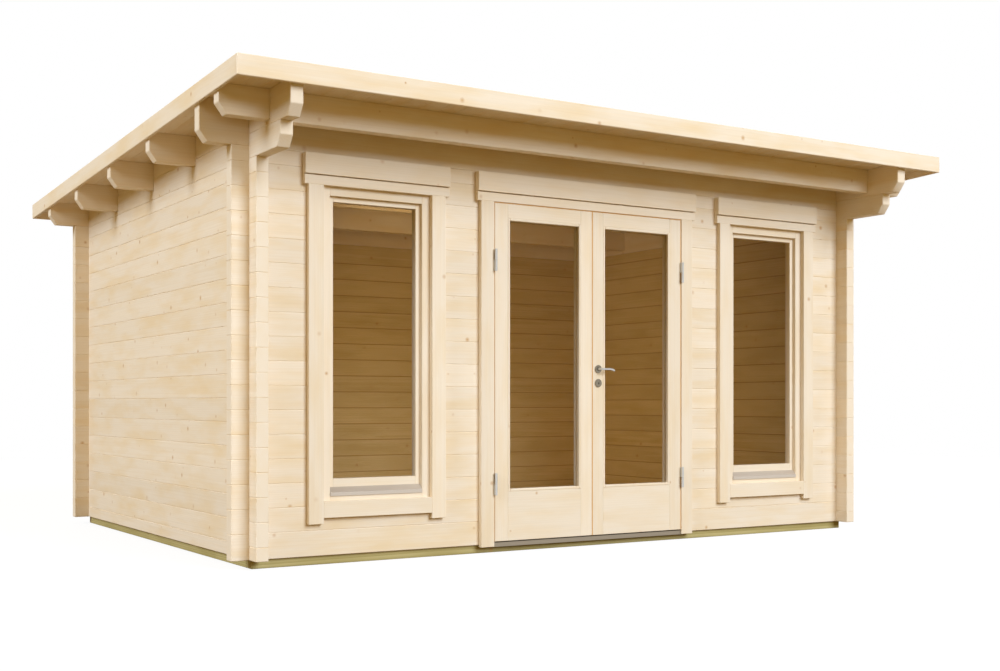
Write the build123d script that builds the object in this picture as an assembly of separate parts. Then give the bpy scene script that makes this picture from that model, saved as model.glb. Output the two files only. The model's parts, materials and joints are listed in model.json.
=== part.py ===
from build123d import *
import os

# Log walls: outer faces, logs and the lines between them
wall_width = 4460.0
wall_depth = 3280.0
log_thickness = 70.0
log_end = 100.0
first_course = 140.0
course_height = 132.0
groove_depth = 4.0
groove_width = 8.0

# Base: bearers under the walls, joists and floor boards
bearer_height = 50.0
bearer_width = 70.0
bearer_inset = 20.0
joist_width = 50.0
joist_count = 7
floor_thickness = 26.0

# Roof: falls from front to back, boards on beams, fascia all round
roof_slope_share = 0.042
top_log_tip = 26.2
back_log_height = 155.0
deck_thickness = 20.0
fascia_height = 105.0
fascia_upstand = 42.0
fascia_thickness = 20.0
side_overhang = 295.0
front_overhang = 600.0
back_overhang = 420.0
purlin_height = 170.0
purlin_count = 3
purlin_shift = 50.0
purlin_lap = 40.0
overhang_beam_height = 158.0
overhang_beam_reach = 290.0
lower_bracket_reach = 425.0
upper_bracket_reach = 555.0
end_chamfer_reach = 45.0
end_chamfer_rise = 60.0

# Boards around the openings
casing_width = 90.0
casing_thickness = 32.0
head_thickness = 44.0
head_board_height = 113.0
head_band_height = 56.0
head_overhang = 24.0
head_gap = 4.0
head_groove = 5.0
head_groove_depth = 14.0

# Windows: what lies under and over them makes up the height of the front wall
sill_height = 298.0
window_width = 676.0
window_height = 1731.0
casing_foot_drop = 32.0
frame_lap = 30.0
frame_face = 50.0
frame_foot = 50.0
sash_face = 29.0
sash_foot = 71.0
sash_set_back = 24.0
sash_thickness = 46.0
pane_thickness = 20.0
glazing_depth = 18.0
drip_nose = 6.0
drip_rise = 26.0
drip_slope = 16.0
drip_drop = 24.0

# Double door, opening outwards
leaf_width = 703.0
leaf_thickness = 56.0
leaf_proud = 28.0
meeting_gap = 12.0
door_gap = 6.0
hinge_stile = 106.0
meeting_stile = 94.0
top_rail = 100.0
bottom_rail = 308.0
jamb_thickness = 30.0
stop_width = 25.0
door_casing_drop = 12.0
threshold_thickness = 12.0
threshold_nose = 24.0
threshold_lip = 6.0
threshold_drop = 14.0
sill_bar_height = 28.0

# Hinges
hinge_inset = 340.0
knuckle_radius = 8.0
knuckle_height = 65.0
pin_radius = 5.0
pin_height = 50.0
pin_clearance = 0.05
seat_gap = 0.3

# Lever lock on the right leaf
lock_inset = 40.0
lever_height = 1031.0
key_drop = 87.0
rose_radius = 25.0
rose_thickness = 8.0
spindle_radius = 9.0
spindle_clearance = 0.05
lever_stand = 37.0
lever_thickness = 13.0
lever_length = 100.0
lever_droop = 11.0
lever_bend_share = 0.66

# Excess length of cutting shapes
overrun = 10.0

# Levels and planes worked out from the sizes
half_width = wall_width / 2
roof_shift = (front_overhang - back_overhang) / 2
front = roof_shift - wall_depth / 2
back = roof_shift + wall_depth / 2
inner_width = half_width - log_thickness
log_reach = half_width + log_end
half_course = course_height / 2
quarter_course = course_height / 4
window_bottom = bearer_height + sill_height
head_bottom = window_bottom + window_height
head_top = head_bottom + head_band_height + head_board_height
front_top = head_top + head_gap
first_line = bearer_height + first_course
course_count = int((front_top - half_course - first_line) // course_height) + 1
front_lines = [first_line + course_height * k for k in range(course_count)]
side_lines = [z - half_course for z in front_lines]
side_top = front_top - half_course
bracket_top = side_top + course_height
deck_reach = half_width + side_overhang - fascia_thickness
roof_reach = half_width + side_overhang
deck_front = front - front_overhang + fascia_thickness
deck_back = back + back_overhang - fascia_thickness
threshold_top = bearer_height + threshold_thickness
leaf_bottom = threshold_top + door_gap
leaf_top = head_bottom - door_gap
door_half = meeting_gap / 2 + leaf_width + door_gap
jamb_half = door_half + jamb_thickness
stop_half = door_half - stop_width
leaf_face = front - leaf_proud
leaf_back = leaf_face + leaf_thickness
stop_face = leaf_back + door_gap
wall_inside = front + log_thickness
jamb_top = head_bottom + jamb_thickness


def under(y):
    """Height of the roof boards' underside at depth y."""
    return bracket_top + top_log_tip + roof_slope_share * (back + log_end - y)


back_top = under(back) - back_log_height


def middle(a, b):
    return (a + b) / 2


def block(x0, x1, y0, y1, z0, z1):
    return Pos(middle(x0, x1), middle(y0, y1), middle(z0, z1)) * Box(x1 - x0, y1 - y0, z1 - z0)


def plate_x(points, x0, x1):
    """Outline of (y, z) points, thick along X."""
    face = make_face(Polyline(*[(x0, y, z) for y, z in points], close=True))
    return extrude(face, amount=x1 - x0, dir=(1, 0, 0))


def plate_y(points, y0, y1):
    """Outline of (x, z) points, thick along Y."""
    face = make_face(Polyline(*[(x, y0, z) for x, z in points], close=True))
    return extrude(face, amount=y1 - y0, dir=(0, 1, 0))


def rod_y(x, z, radius, y0, y1):
    return Pos(x, middle(y0, y1), z) * Rot(90, 0, 0) * Cylinder(radius, y1 - y0)


def rod_z(x, y, radius, z0, z1):
    return Pos(x, y, middle(z0, z1)) * Cylinder(radius, z1 - z0)


def mirrored(shape):
    return mirror(shape, about=Plane.YZ)


def save(name, *solids):
    shape = solids[0] if len(solids) == 1 else Compound(children=list(solids))
    export_step(shape, os.path.join("parts", name + ".step"))


# Log walls

def grooves_along_x(lines, x0, x1, faces):
    cutters = []
    for y in faces:
        for z in lines:
            points = [
                (y - groove_depth, z),
                (y, z - groove_width / 2),
                (y + groove_depth, z),
                (y, z + groove_width / 2),
            ]
            cutters.append(plate_x(points, x0 - overrun, x1 + overrun))
    return cutters


def grooves_along_y(lines, y0, y1, faces):
    cutters = []
    for x in faces:
        for z in lines:
            points = [
                (x - groove_depth, z),
                (x, z - groove_width / 2),
                (x + groove_depth, z),
                (x, z + groove_width / 2),
            ]
            cutters.append(plate_y(points, y0 - overrun, y1 + overrun))
    return cutters


def left_column_cuts(bands, y0, y1):
    """Bands of height taken out where the left wall crosses."""
    return [block(-half_width, -inner_width, y0, y1, z0, z1) for z0, z1 in bands]


def front_bands():
    """Heights that front and back logs keep at the corner joints."""
    return [(z - quarter_course, z + quarter_course) for z in side_lines]


def side_bands():
    """Heights that side logs keep at the corner joints."""
    bands = [(bearer_height, side_lines[0] - quarter_course)]
    for z in front_lines[:-1]:
        bands.append((z - quarter_course, z + quarter_course))
    bands.append((front_lines[-1] - quarter_course, side_top))
    return bands


def make_front_wall_left():
    wall = block(-log_reach, -jamb_half, front, wall_inside, bearer_height, front_top)
    bands = side_bands() + [(middle(side_top, front_top), front_top)]
    cuts = left_column_cuts(bands, front, wall_inside)
    cuts += grooves_along_x(front_lines, -log_reach, -jamb_half, [front, wall_inside])
    half = window_width / 2 + frame_lap
    cuts.append(block(
        -window_offset - half, -window_offset + half, front - overrun, wall_inside + overrun,
        window_bottom - frame_lap, head_bottom + frame_lap))
    return wall - cuts


def make_front_wall_over_door():
    wall = block(-jamb_half, jamb_half, front, wall_inside, jamb_top, front_top)
    lines = [z for z in front_lines if jamb_top + groove_width < z < front_top - groove_width]
    return wall - grooves_along_x(lines, -jamb_half, jamb_half, [front, wall_inside])


def make_back_wall():
    y0 = back - log_thickness
    wall = block(-log_reach, log_reach, y0, back, bearer_height, back_top)
    bands = side_bands()
    bands[-1] = (bands[-1][0], back_top)
    left_cuts = left_column_cuts(bands, y0, back)
    right_cuts = [mirrored(cut) for cut in left_cuts]
    return wall - left_cuts - right_cuts - grooves_along_x(front_lines[:-1], -log_reach, log_reach, [y0, back])


def make_left_wall():
    y0 = front - log_end
    y1 = back + log_end
    wall = block(-half_width, -inner_width, y0, y1, bearer_height, side_top)
    cuts = left_column_cuts(front_bands(), front, wall_inside)
    cuts += left_column_cuts(front_bands(), back - log_thickness, back)
    cuts += grooves_along_y(side_lines, y0, y1, [-half_width, -inner_width])
    return wall - cuts


# Roof timbers

def above_roof():
    y0 = deck_front - overrun
    y1 = deck_back + overrun
    high = under(y0) + fascia_height
    points = [(y0, under(y0)), (y1, under(y1)), (y1, high), (y0, high)]
    return plate_x(points, -roof_reach, roof_reach)


def cross_beam(y0, bottom):
    """Beam along X under the roof boards, with its lower end corners cut off."""
    top = under(y0) + overrun
    points = [
        (-deck_reach, bottom + end_chamfer_rise),
        (-deck_reach + end_chamfer_reach, bottom),
        (deck_reach - end_chamfer_reach, bottom),
        (deck_reach, bottom + end_chamfer_rise),
        (deck_reach, top),
        (-deck_reach, top),
    ]
    return plate_y(points, y0, y0 + log_thickness) - above_roof()


def column_pair(y0, z0, z1):
    left = block(-half_width, -inner_width, y0, y0 + log_thickness, z0, z1)
    return [left, mirrored(left)]


front_neck = middle(front_top, bracket_top)
upper_neck = bracket_top + quarter_course
upper_neck_top = middle(upper_neck, under(wall_inside))
back_neck = middle(side_top, bracket_top)
back_upper_neck = middle(bracket_top, under(back))
beam_y = front - overhang_beam_reach
beam_bottom = under(beam_y) - overhang_beam_height
beam_neck = middle(beam_bottom, under(beam_y))
purlin_step = (wall_depth - log_thickness) / (purlin_count + 1)
purlin_places = [front + purlin_shift + purlin_step * (k + 1) for k in range(purlin_count)]


def purlin_bottom(y):
    return under(y) - purlin_height


def purlin_neck(y):
    return under(y + log_thickness) - purlin_lap


def make_front_top_log():
    log = cross_beam(front, front_top)
    return log - column_pair(front, front_top, front_neck) - column_pair(front, upper_neck, upper_neck_top)


def make_back_top_log():
    y0 = back - log_thickness
    log = cross_beam(y0, back_top)
    return log - column_pair(y0, back_top, back_neck) - column_pair(y0, bracket_top, back_upper_neck)


def make_overhang_beam():
    return cross_beam(beam_y, beam_bottom) - column_pair(beam_y, beam_bottom, beam_neck)


def make_purlin(y):
    return cross_beam(y, purlin_bottom(y)) - column_pair(y, purlin_neck(y), under(y) + overrun)


def wall_slot(y0, z0, z1):
    return block(-half_width, -inner_width, y0, y0 + log_thickness, z0, z1)


def make_lower_bracket_log():
    """Left wall log that runs on to the front as a bracket."""
    y0 = front - lower_bracket_reach
    y1 = back + log_end
    points = [
        (y0, side_top + end_chamfer_rise),
        (y0 + end_chamfer_reach, side_top),
        (y1, side_top),
        (y1, bracket_top),
        (y0, bracket_top),
    ]
    cuts = [
        wall_slot(front, side_top, middle(side_top, front_top)),
        wall_slot(front, front_neck, bracket_top),
        wall_slot(back - log_thickness, back_neck, bracket_top),
    ]
    cuts += [wall_slot(y, purlin_bottom(y), bracket_top) for y in purlin_places]
    return plate_x(points, -half_width, -inner_width) - cuts


def make_upper_bracket_log():
    """Left wall's top log, cut to the roof's fall, carried on to the front as a bracket."""
    y0 = front - upper_bracket_reach
    y1 = back + log_end
    points = [
        (y0, bracket_top + end_chamfer_rise),
        (y0 + end_chamfer_reach, bracket_top),
        (y1, bracket_top),
        (y1, under(y1)),
        (y0, under(y0)),
    ]
    cuts = [
        wall_slot(front, bracket_top, upper_neck),
        wall_slot(front, upper_neck_top, under(front) + overrun),
        wall_slot(back - log_thickness, back_upper_neck, under(front)),
        wall_slot(beam_y, beam_neck, under(beam_y) + overrun),
    ]
    cuts += [wall_slot(y, bracket_top, purlin_neck(y)) for y in purlin_places]
    return plate_x(points, -half_width, -inner_width) - cuts


# Roof boards and fascia

def make_roof_deck():
    points = [
        (deck_front, under(deck_front)),
        (deck_back, under(deck_back)),
        (deck_back, under(deck_back) + deck_thickness),
        (deck_front, under(deck_front) + deck_thickness),
    ]
    return plate_x(points, -deck_reach, deck_reach)


def fascia_outline(y0, y1):
    top0 = under(y0) + deck_thickness + fascia_upstand
    top1 = under(y1) + deck_thickness + fascia_upstand
    return [(y0, top0 - fascia_height), (y1, top1 - fascia_height), (y1, top1), (y0, top0)]


def make_left_fascia():
    return plate_x(fascia_outline(deck_front, deck_back), -roof_reach, -deck_reach)


def make_front_fascia():
    return plate_x(fascia_outline(deck_front - fascia_thickness, deck_front), -roof_reach, roof_reach)


def make_back_fascia():
    return plate_x(fascia_outline(deck_back, deck_back + fascia_thickness), -roof_reach, roof_reach)


# Base

bearer_front = front + bearer_inset
bearer_back = back - bearer_inset
bearer_side = half_width - bearer_inset


def make_front_bearer():
    return block(-bearer_side, bearer_side, bearer_front, bearer_front + bearer_width, 0, bearer_height)


def make_back_bearer():
    return block(-bearer_side, bearer_side, bearer_back - bearer_width, bearer_back, 0, bearer_height)


def make_left_bearer():
    y0 = bearer_front + bearer_width
    y1 = bearer_back - bearer_width
    return block(-bearer_side, -bearer_side + bearer_width, y0, y1, 0, bearer_height)


def make_joists():
    y0 = bearer_front + bearer_width
    y1 = bearer_back - bearer_width
    inner = bearer_side - bearer_width
    step = 2 * inner / (joist_count + 1)
    joists = []
    for k in range(joist_count):
        x = step * (k + 1) - inner
        joists.append(block(x - joist_width / 2, x + joist_width / 2, y0, y1, 0, bearer_height))
    return joists


def make_floor():
    floor_top = bearer_height + floor_thickness
    return block(-inner_width, inner_width, wall_inside, back - log_thickness, bearer_height, floor_top)


# Windows, made for the left one about its own centre line

window_offset = middle(door_half, half_width)
frame_half = window_width / 2 + frame_lap
light_half = window_width / 2 - frame_face
light_bottom = window_bottom + frame_foot
light_top = head_bottom - frame_face
pane_half = light_half - sash_face
pane_bottom = light_bottom + sash_foot
pane_top = light_top - sash_face
sash_front = front + sash_set_back
casing_half = window_width / 2 + casing_width


def ring(outer_half, z0, z1, inner_half, hole_z0, hole_z1, y0, y1):
    solid = block(-outer_half, outer_half, y0, y1, z0, z1)
    return solid - block(-inner_half, inner_half, y0 - overrun, y1 + overrun, hole_z0, hole_z1)


def make_window_frame():
    return ring(
        frame_half, window_bottom - frame_lap, head_bottom + frame_lap,
        light_half, light_bottom, light_top, front, wall_inside)


def make_window_sash():
    return ring(
        light_half, light_bottom, light_top,
        pane_half, pane_bottom, pane_top, sash_front, sash_front + sash_thickness)


def make_window_pane():
    y0 = sash_front + glazing_depth
    return block(-pane_half, pane_half, y0, y0 + pane_thickness, pane_bottom, pane_top)


def make_window_drip():
    points = [
        (front, light_bottom - drip_drop),
        (front, light_bottom),
        (sash_front, light_bottom),
        (sash_front, light_bottom + drip_rise),
        (front - drip_nose, light_bottom + drip_rise - drip_slope),
        (front - drip_nose, light_bottom - drip_drop),
    ]
    return plate_x(points, -light_half, light_half)


def make_window_side_casing():
    z0 = window_bottom - casing_width - casing_foot_drop
    return block(-casing_half, -window_width / 2, front - casing_thickness, front, z0, head_bottom)


def make_window_sill_casing():
    half = window_width / 2
    return block(-half, half, front - casing_thickness, front, window_bottom - casing_width, window_bottom)


def head_board(half):
    """Head over an opening: a thick board over a thinner band, with a groove between them."""
    line = head_bottom + head_band_height
    band_face = front - casing_thickness
    board = block(-half, half, front - head_thickness, front, line, head_top)
    band = block(-half, half, band_face, front, head_bottom, line)
    groove = block(
        -half - overrun, half + overrun, band_face - overrun, band_face + head_groove_depth,
        line - head_groove, line)
    return board + (band - groove)


# Door frame and casing

def make_left_jamb():
    outer = block(-jamb_half, -door_half, front, wall_inside, threshold_top, jamb_top)
    return outer + block(-door_half, -stop_half, stop_face, wall_inside, threshold_top, jamb_top)


def make_head_jamb():
    head = block(-door_half, door_half, front, stop_face, head_bottom, jamb_top)
    return head + block(-stop_half, stop_half, stop_face, wall_inside, head_bottom - stop_width, jamb_top)


def make_threshold():
    plate = block(-jamb_half, jamb_half, front, wall_inside, bearer_height, threshold_top)
    nose_y = front - threshold_nose
    nose = block(-door_half, door_half, nose_y, front, bearer_height, threshold_top)
    lip = block(
        -door_half, door_half, nose_y, nose_y + threshold_lip, bearer_height - threshold_drop, threshold_top)
    return plate + nose + lip


def make_door_sill():
    return block(-stop_half, stop_half, stop_face, wall_inside, threshold_top, threshold_top + sill_bar_height)


def make_left_door_casing():
    z0 = bearer_height - door_casing_drop
    return block(-door_half - casing_width, -door_half, front - casing_thickness, front, z0, head_bottom)


# Door leaves and their hinges, made for the right leaf

leaf_edge = meeting_gap / 2
leaf_outer = leaf_edge + leaf_width
glass_left = leaf_edge + meeting_stile
glass_right = leaf_outer - hinge_stile
glass_bottom = leaf_bottom + bottom_rail
glass_top = leaf_top - top_rail
hinge_x = middle(leaf_outer, door_half)
hinge_y = front - casing_thickness - door_gap - knuckle_radius
hinge_levels = [leaf_bottom + hinge_inset, leaf_top - hinge_inset]
lever_x = leaf_edge + lock_inset
lever_z = leaf_bottom + lever_height
key_z = lever_z - key_drop


def make_plain_leaf():
    leaf = block(leaf_edge, leaf_outer, leaf_face, leaf_back, leaf_bottom, leaf_top)
    return leaf - block(
        glass_left, glass_right, leaf_face - overrun, leaf_back + overrun, glass_bottom, glass_top)


def make_leaf_pane():
    y0 = leaf_face + glazing_depth
    return block(glass_left, glass_right, y0, y0 + pane_thickness, glass_bottom, glass_top)


def make_leaf_hinge(z):
    """Upper knuckle with the web behind it that is fixed to the leaf, bored for the pin."""
    z0 = z + seat_gap
    z1 = z0 + knuckle_height
    knuckle = rod_z(hinge_x, hinge_y, knuckle_radius, z0, z1)
    web = block(hinge_x - knuckle_radius, leaf_outer, hinge_y, leaf_face, z0, z1)
    bore = rod_z(hinge_x, hinge_y, pin_radius + pin_clearance, z0 - overrun, z1 + overrun)
    return knuckle + web - bore


def make_frame_hinge(z):
    """Lower knuckle with the web behind it that is fixed to the casing, and the pin standing in it."""
    z0 = z - knuckle_height
    knuckle = rod_z(hinge_x, hinge_y, knuckle_radius, z0, z)
    pin = rod_z(hinge_x, hinge_y, pin_radius, z - knuckle_height / 2, z + pin_height)
    web = block(door_half, hinge_x + knuckle_radius, hinge_y, front - casing_thickness, z0, z)
    return knuckle + pin + web


def make_right_leaf():
    bore = rod_y(lever_x, lever_z, spindle_radius + door_gap, leaf_face - overrun, leaf_back + overrun)
    return make_plain_leaf() - bore


def make_roses():
    outside = rod_y(lever_x, lever_z, rose_radius, leaf_face - rose_thickness, leaf_face)
    inside = rod_y(lever_x, lever_z, rose_radius, leaf_back, leaf_back + rose_thickness)
    bore_radius = spindle_radius + spindle_clearance
    bore = rod_y(lever_x, lever_z, bore_radius, leaf_face - lever_stand, leaf_back + lever_stand)
    key_outside = rod_y(lever_x, key_z, rose_radius, leaf_face - rose_thickness, leaf_face)
    key_inside = rod_y(lever_x, key_z, rose_radius, leaf_back, leaf_back + rose_thickness)
    return [outside - bore, inside - bore, key_outside, key_inside]


def lever_arm(y0):
    half = lever_thickness / 2
    bend = lever_x + lever_length * lever_bend_share
    tip = lever_x + lever_length
    points = [
        (lever_x - spindle_radius, lever_z - half),
        (bend, lever_z - half),
        (tip, lever_z - half - lever_droop),
        (tip, lever_z + half - lever_droop),
        (bend, lever_z + half),
        (lever_x - spindle_radius, lever_z + half),
    ]
    return plate_y(points, y0, y0 + lever_thickness)


def make_lever():
    outer_y = leaf_face - lever_stand - lever_thickness
    inner_y = leaf_back + lever_stand
    spindle = rod_y(lever_x, lever_z, spindle_radius, outer_y + lever_thickness / 2, inner_y + lever_thickness / 2)
    return spindle + lever_arm(outer_y) + lever_arm(inner_y)


# One file for each piece, or each set of like pieces

def save_base():
    save("front_bearer", make_front_bearer())
    save("back_bearer", make_back_bearer())
    left = make_left_bearer()
    save("side_bearers", left, mirrored(left))
    save("floor_joists", *make_joists())
    save("floor", make_floor())


def save_walls():
    front_left = make_front_wall_left()
    left = make_left_wall()
    save("front_wall_left", front_left)
    save("front_wall_right", mirrored(front_left))
    save("front_wall_over_door", make_front_wall_over_door())
    save("back_wall", make_back_wall())
    save("left_wall", left)
    save("right_wall", mirrored(left))


def save_roof():
    lower = make_lower_bracket_log()
    upper = make_upper_bracket_log()
    fascia = make_left_fascia()
    save("lower_bracket_logs", lower, mirrored(lower))
    save("upper_bracket_logs", upper, mirrored(upper))
    save("front_top_log", make_front_top_log())
    save("back_top_log", make_back_top_log())
    save("overhang_beam", make_overhang_beam())
    save("purlins", *[make_purlin(y) for y in purlin_places])
    save("roof_deck", make_roof_deck())
    save("front_fascia", make_front_fascia())
    save("back_fascia", make_back_fascia())
    save("side_fascias", fascia, mirrored(fascia))


def save_windows():
    places = [Pos(-window_offset, 0, 0), Pos(window_offset, 0, 0)]
    casing = make_window_side_casing()
    casings = [casing, mirrored(casing)]
    save("window_frames", *[place * make_window_frame() for place in places])
    save("window_sashes", *[place * make_window_sash() for place in places])
    save("window_panes", *[place * make_window_pane() for place in places])
    save("window_drips", *[place * make_window_drip() for place in places])
    save("window_side_casings", *[place * piece for place in places for piece in casings])
    save("window_sill_casings", *[place * make_window_sill_casing() for place in places])
    save("window_heads", *[place * head_board(casing_half + head_overhang) for place in places])


def save_door():
    jamb = make_left_jamb()
    casing = make_left_door_casing()
    leaf_hinges = [make_leaf_hinge(z) for z in hinge_levels]
    frame_hinges = [make_frame_hinge(z) for z in hinge_levels]
    pane = make_leaf_pane()
    save("door_jambs", jamb, mirrored(jamb))
    save("door_head_jamb", make_head_jamb())
    save("door_threshold", make_threshold())
    save("door_sill", make_door_sill())
    save("door_casings", casing, mirrored(casing))
    save("door_head", head_board(door_half + casing_width + head_overhang))
    save("frame_hinges", *frame_hinges, *[mirrored(hinge) for hinge in frame_hinges])
    save("left_leaf", mirrored(make_plain_leaf()))
    save("left_leaf_pane", mirrored(pane))
    save("left_leaf_hinges", *[mirrored(hinge) for hinge in leaf_hinges])
    save("right_leaf", make_right_leaf())
    save("right_leaf_pane", pane)
    save("right_leaf_hinges", *leaf_hinges)
    save("lock_roses", *make_roses())
    save("lever_handle", make_lever())


os.makedirs("parts", exist_ok=True)
save_base()
save_walls()
save_roof()
save_windows()
save_door()
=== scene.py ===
"""Garden office of interlocked planed logs, dressed around its CAD frame."""

import json
import math
import random

import bpy
from bpy.props import FloatProperty, IntProperty, PointerProperty, StringProperty
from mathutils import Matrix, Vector

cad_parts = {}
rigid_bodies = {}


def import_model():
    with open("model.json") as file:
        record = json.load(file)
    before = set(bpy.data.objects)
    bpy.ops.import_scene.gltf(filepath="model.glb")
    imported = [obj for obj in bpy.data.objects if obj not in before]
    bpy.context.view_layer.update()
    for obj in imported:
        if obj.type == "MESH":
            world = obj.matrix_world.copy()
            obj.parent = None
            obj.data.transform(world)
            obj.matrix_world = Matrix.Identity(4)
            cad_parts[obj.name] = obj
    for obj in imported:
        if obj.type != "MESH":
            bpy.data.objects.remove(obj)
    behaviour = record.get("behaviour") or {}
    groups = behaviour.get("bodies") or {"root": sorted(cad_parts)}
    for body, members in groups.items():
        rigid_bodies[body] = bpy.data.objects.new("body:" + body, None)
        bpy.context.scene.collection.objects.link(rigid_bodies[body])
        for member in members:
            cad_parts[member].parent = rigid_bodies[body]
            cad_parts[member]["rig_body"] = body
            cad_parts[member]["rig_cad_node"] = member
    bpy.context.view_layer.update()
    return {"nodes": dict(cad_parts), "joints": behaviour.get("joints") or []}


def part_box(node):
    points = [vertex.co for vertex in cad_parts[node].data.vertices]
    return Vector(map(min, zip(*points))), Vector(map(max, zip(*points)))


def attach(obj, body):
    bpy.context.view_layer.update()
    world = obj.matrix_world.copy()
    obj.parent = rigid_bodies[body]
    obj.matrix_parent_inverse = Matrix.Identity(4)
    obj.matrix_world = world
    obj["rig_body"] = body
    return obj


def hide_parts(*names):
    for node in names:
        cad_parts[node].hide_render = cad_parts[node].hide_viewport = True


bl_info = {
    "name": "Garden Office",
    "version": (1, 0, 0),
    "blender": (4, 5, 0),
    "location": "3D View > Sidebar > Garden Office",
    "description": "Models the logs, boards, windows and door of a garden office around its CAD frame",
    "category": "Add Mesh",
}

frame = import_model()
BUILDING = "building"
LEFT_LEAF = "left_door_leaf"
RIGHT_LEAF = "right_door_leaf"
LEVER = "lever"
MILLIMETRE = 0.001
# Corners closer together than this are one corner
MERGE = 0.01 * MILLIMETRE
# Faces that meet at less than FLAT are one face, and edges sharper than SHARP are eased
FLAT = math.radians(0.5)
SHARP = math.radians(25)
# How far a cutter stands out of the log that it cuts
CUT_OVERRUN = 0.1
# Corners of a squared bar before its edges are eased
BAR_CORNERS = 8
# More courses of logs than any wall has
MOST_COURSES = 40
# The sloping faces of a log's joint have normals that rise by a share between these; in the room these faces
# take a painted shade
JOINT_SLOPES = (0.3, 0.95)
# How far the heart of the trunk lies from a timber, and how far a pattern may shift along it
HEART_REACH = (0.03, 0.11)
HEART_DRIFT = 9

# Turns that bring the length of a timber onto the X axis of its pattern
GRAIN_TURN = {"X": (0, 0, 0), "Y": (0, 0, -math.pi / 2), "Z": (0, math.pi / 2, 0)}


class OfficeSizes(bpy.types.PropertyGroup):
    """Sizes of what is added to the frame"""

    first_course: FloatProperty(
        name="First course", description="Height of the lowest front log", default=0.140, unit="LENGTH")
    course: FloatProperty(
        name="Course", description="Height of a log between two joints", default=0.132, unit="LENGTH")
    log_arris: FloatProperty(
        name="Log arris", description="Chamfer along a log, half of the V joint",
        default=0.0028, unit="LENGTH")
    log_bury: FloatProperty(
        name="Log bury", description="How far a log end is let into the wall it meets",
        default=0.008, unit="LENGTH")
    beam_arris: FloatProperty(
        name="Beam arris", description="Eased edge of beams and fascia", default=0.003, unit="LENGTH")
    casing_arris: FloatProperty(
        name="Casing arris", description="Eased edge of casings and heads", default=0.0015, unit="LENGTH")
    board_arris: FloatProperty(
        name="Board arris", description="Eased edge of roof and floor boards", default=0.002, unit="LENGTH")
    joinery_arris: FloatProperty(
        name="Joinery arris", description="Eased edge of doors and windows", default=0.0015, unit="LENGTH")
    metal_arris: FloatProperty(
        name="Metal arris", description="Rounding of metal edges", default=0.0012, unit="LENGTH")
    roof_boards: IntProperty(name="Roof boards", description="Boards across the roof", default=44, min=1)
    floor_boards: IntProperty(name="Floor boards", description="Boards from front to back", default=28, min=1)
    bead_width: FloatProperty(
        name="Bead width", description="Width of a leaf's glazing bead", default=0.015, unit="LENGTH")
    bead_proud: FloatProperty(
        name="Bead proud", description="How far a bead stands out of the leaf", default=0.002, unit="LENGTH")
    glass: FloatProperty(
        name="Glass", description="Thickness of one sheet of a sealed unit", default=0.004, unit="LENGTH")
    drip_lip: FloatProperty(
        name="Drip lip", description="Height of the upright edge of a drip sill",
        default=0.020, unit="LENGTH")
    strip_set_back: FloatProperty(
        name="Strip set back", description="Meeting strip behind the leaf's face",
        default=0.001, unit="LENGTH")
    strip_lap: FloatProperty(
        name="Strip lap", description="Meeting strip past the middle of the door",
        default=0.001, unit="LENGTH")
    meeting_slit: FloatProperty(
        name="Meeting slit", description="Slit between meeting strip and seal",
        default=0.0005, unit="LENGTH")
    meeting_seal: FloatProperty(
        name="Meeting seal", description="Depth of the seal where the leaves meet",
        default=0.008, unit="LENGTH")


class OfficeColours(bpy.types.PropertyGroup):
    """Colours as they look in plain light, as sRGB hex values"""

    spruce: StringProperty(name="Spruce", description="Early wood of planed spruce", default="#EEDFC9")
    spruce_late: StringProperty(name="Late wood", description="Late wood lines of spruce", default="#DFC59C")
    spruce_warm: StringProperty(name="Warm wood", description="Warmer patches of spruce", default="#E8CFA6")
    knot: StringProperty(name="Knot", description="Small sound knots", default="#C1935A")
    # Painted shade: the spruce of the room and its late wood lines are drawn deeper and warmer than the same
    # spruce outside, for the dim light in the room
    inside: StringProperty(
        name="Inside", description="Spruce in the room, out of the daylight", default="#E0C893")
    shaded_room_late: StringProperty(
        name="Inside late wood", description="Late wood lines in the room", default="#BFA45E")
    # Painted shade: the grooves between logs in the room are drawn browner than the logs, for the shade in
    # them
    painted_joint_shade: StringProperty(
        name="Inside joint", description="Grooves between logs in the room", default="#AE9159")
    treated: StringProperty(name="Treated", description="Pressure treated timber", default="#C4B57F")
    treated_late: StringProperty(
        name="Treated late wood", description="Darker green lines", default="#A4945A")
    aluminium: StringProperty(name="Aluminium", description="Lacquered aluminium", default="#CABEB0")
    threshold: StringProperty(
        name="Threshold", description="Worn aluminium of the threshold", default="#A09482")
    steel: StringProperty(name="Steel", description="Satin steel of lever and hinges", default="#8E7F6A")
    rose: StringProperty(name="Rose", description="Brushed steel of the lock roses", default="#8F8676")
    # Painted shade: the inside of a keyhole is drawn nearly black for the little light that gets in
    keyhole: StringProperty(name="Keyhole", description="Steel inside a keyhole", default="#2E2A26")
    # Partly painted shade: the tan of the seals stands in for the warm shade of the gaps round the door
    # leaves, as well as the foam's colour
    seal: StringProperty(name="Seal", description="Foam seal round the door leaves", default="#D9A566")
    glass: StringProperty(
        name="Glass", description="Dark tint that glass lays over the room", default="#141713")
    ground: StringProperty(name="Ground", description="Warm light thrown up by the ground", default="#80652E")


# Colours and shader nodes

def linear(text):
    """Linear RGBA of an sRGB hex value."""
    values = [int(text[i:i + 2], 16) / 255 for i in (1, 3, 5)]
    return [v / 12.92 if v <= 0.04045 else ((v + 0.055) / 1.055) ** 2.4 for v in values] + [1.0]


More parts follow.
